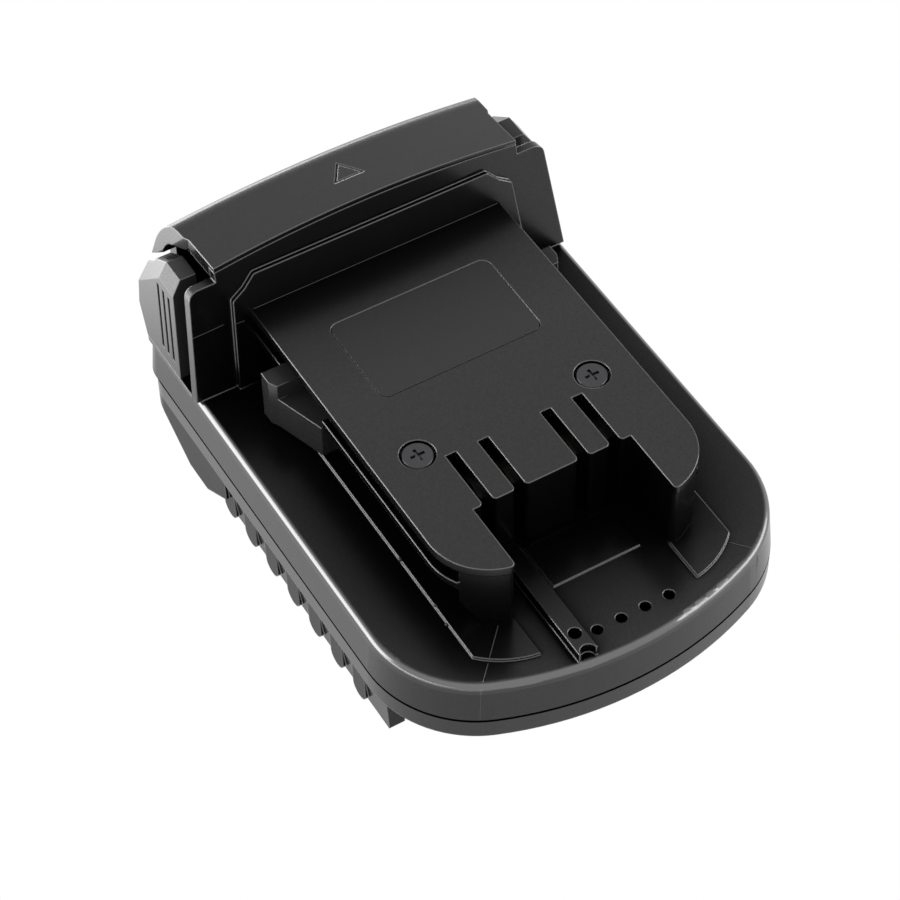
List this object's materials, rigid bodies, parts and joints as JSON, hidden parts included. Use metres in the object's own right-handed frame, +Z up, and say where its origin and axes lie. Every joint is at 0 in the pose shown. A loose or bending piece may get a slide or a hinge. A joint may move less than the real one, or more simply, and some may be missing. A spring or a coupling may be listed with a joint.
{
  "type": "tool battery adapter",
  "caption": "Slide-on adapter with a T-shaped tool rail and sprung side latches on top and a battery channel between ribbed skirts underneath.",
  "frame": {"origin": "under the middle of the body, on the surface that the skirts stand on", "axes": "+X across the body towards the right release button, +Y from the rounded nose to the latch end, +Z up from the battery side to the tool side"},
  "size_m": [0.08, 0.112, 0.0518],
  "materials": {
    "black_abs": "moulded ABS, satin to glossy black",
    "label_film": "bare black film, faintly satin",
    "button_abs": "moulded ABS, satin black",
    "latch_nylon": "moulded nylon, satin black",
    "spring_steel": "drawn spring wire",
    "terminal_nylon": "moulded glass-filled nylon, black",
    "tinned_brass": "stamped and tinned brass",
    "board_laminate": "glass epoxy board with green solder mask",
    "chip_resin": "moulded epoxy packages",
    "wire_insulation_red": "PVC insulation",
    "wire_insulation_black": "PVC insulation",
    "wire_insulation_white": "PVC insulation",
    "blackened_steel": "black-oxide steel screw",
    "zinc_steel": "zinc-plated steel screw"
  },
  "bodies": {
    "body": {"upper_housing": "black_abs", "rail_platform": "black_abs", "rear_cap": "black_abs", "lower_housing": "black_abs", "label_plate": "label_film", "button_spring_left": "spring_steel", "button_spring_right": "spring_steel", "clip_holder": "terminal_nylon", "positive_clip": "tinned_brass", "negative_clip": "tinned_brass", "signal_clip_left": "tinned_brass", "signal_clip_right": "tinned_brass", "blade_block": "terminal_nylon", "positive_blade": "tinned_brass", "negative_blade": "tinned_brass", "signal_blades": "tinned_brass", "circuit_board": "board_laminate", "board_components": "chip_resin", "positive_lead": "wire_insulation_red", "negative_lead": "wire_insulation_black", "signal_leads": "wire_insulation_white", "rail_screws": "blackened_steel", "housing_screws": "blackened_steel", "board_screws": "zinc_steel"},
    "button_right": {"release_button_right": "button_abs", "latch_arm_right": "latch_nylon"},
    "button_left": {"release_button_left": "button_abs", "latch_arm_left": "latch_nylon"}
  },
  "joints": [
    {"name": "right_button_press", "type": "slide", "parent": "body", "child": "button_right", "axis": [-1, 0, 0], "range_m": [0, 0.0044], "stiffness_N_per_m": 900, "springref_m": -0.004, "deforming": ["button_spring_right"]},
    {"name": "left_button_press", "type": "slide", "parent": "body", "child": "button_left", "axis": [1, 0, 0], "range_m": [0, 0.0044], "stiffness_N_per_m": 900, "springref_m": -0.004, "deforming": ["button_spring_left"]}
  ]
}
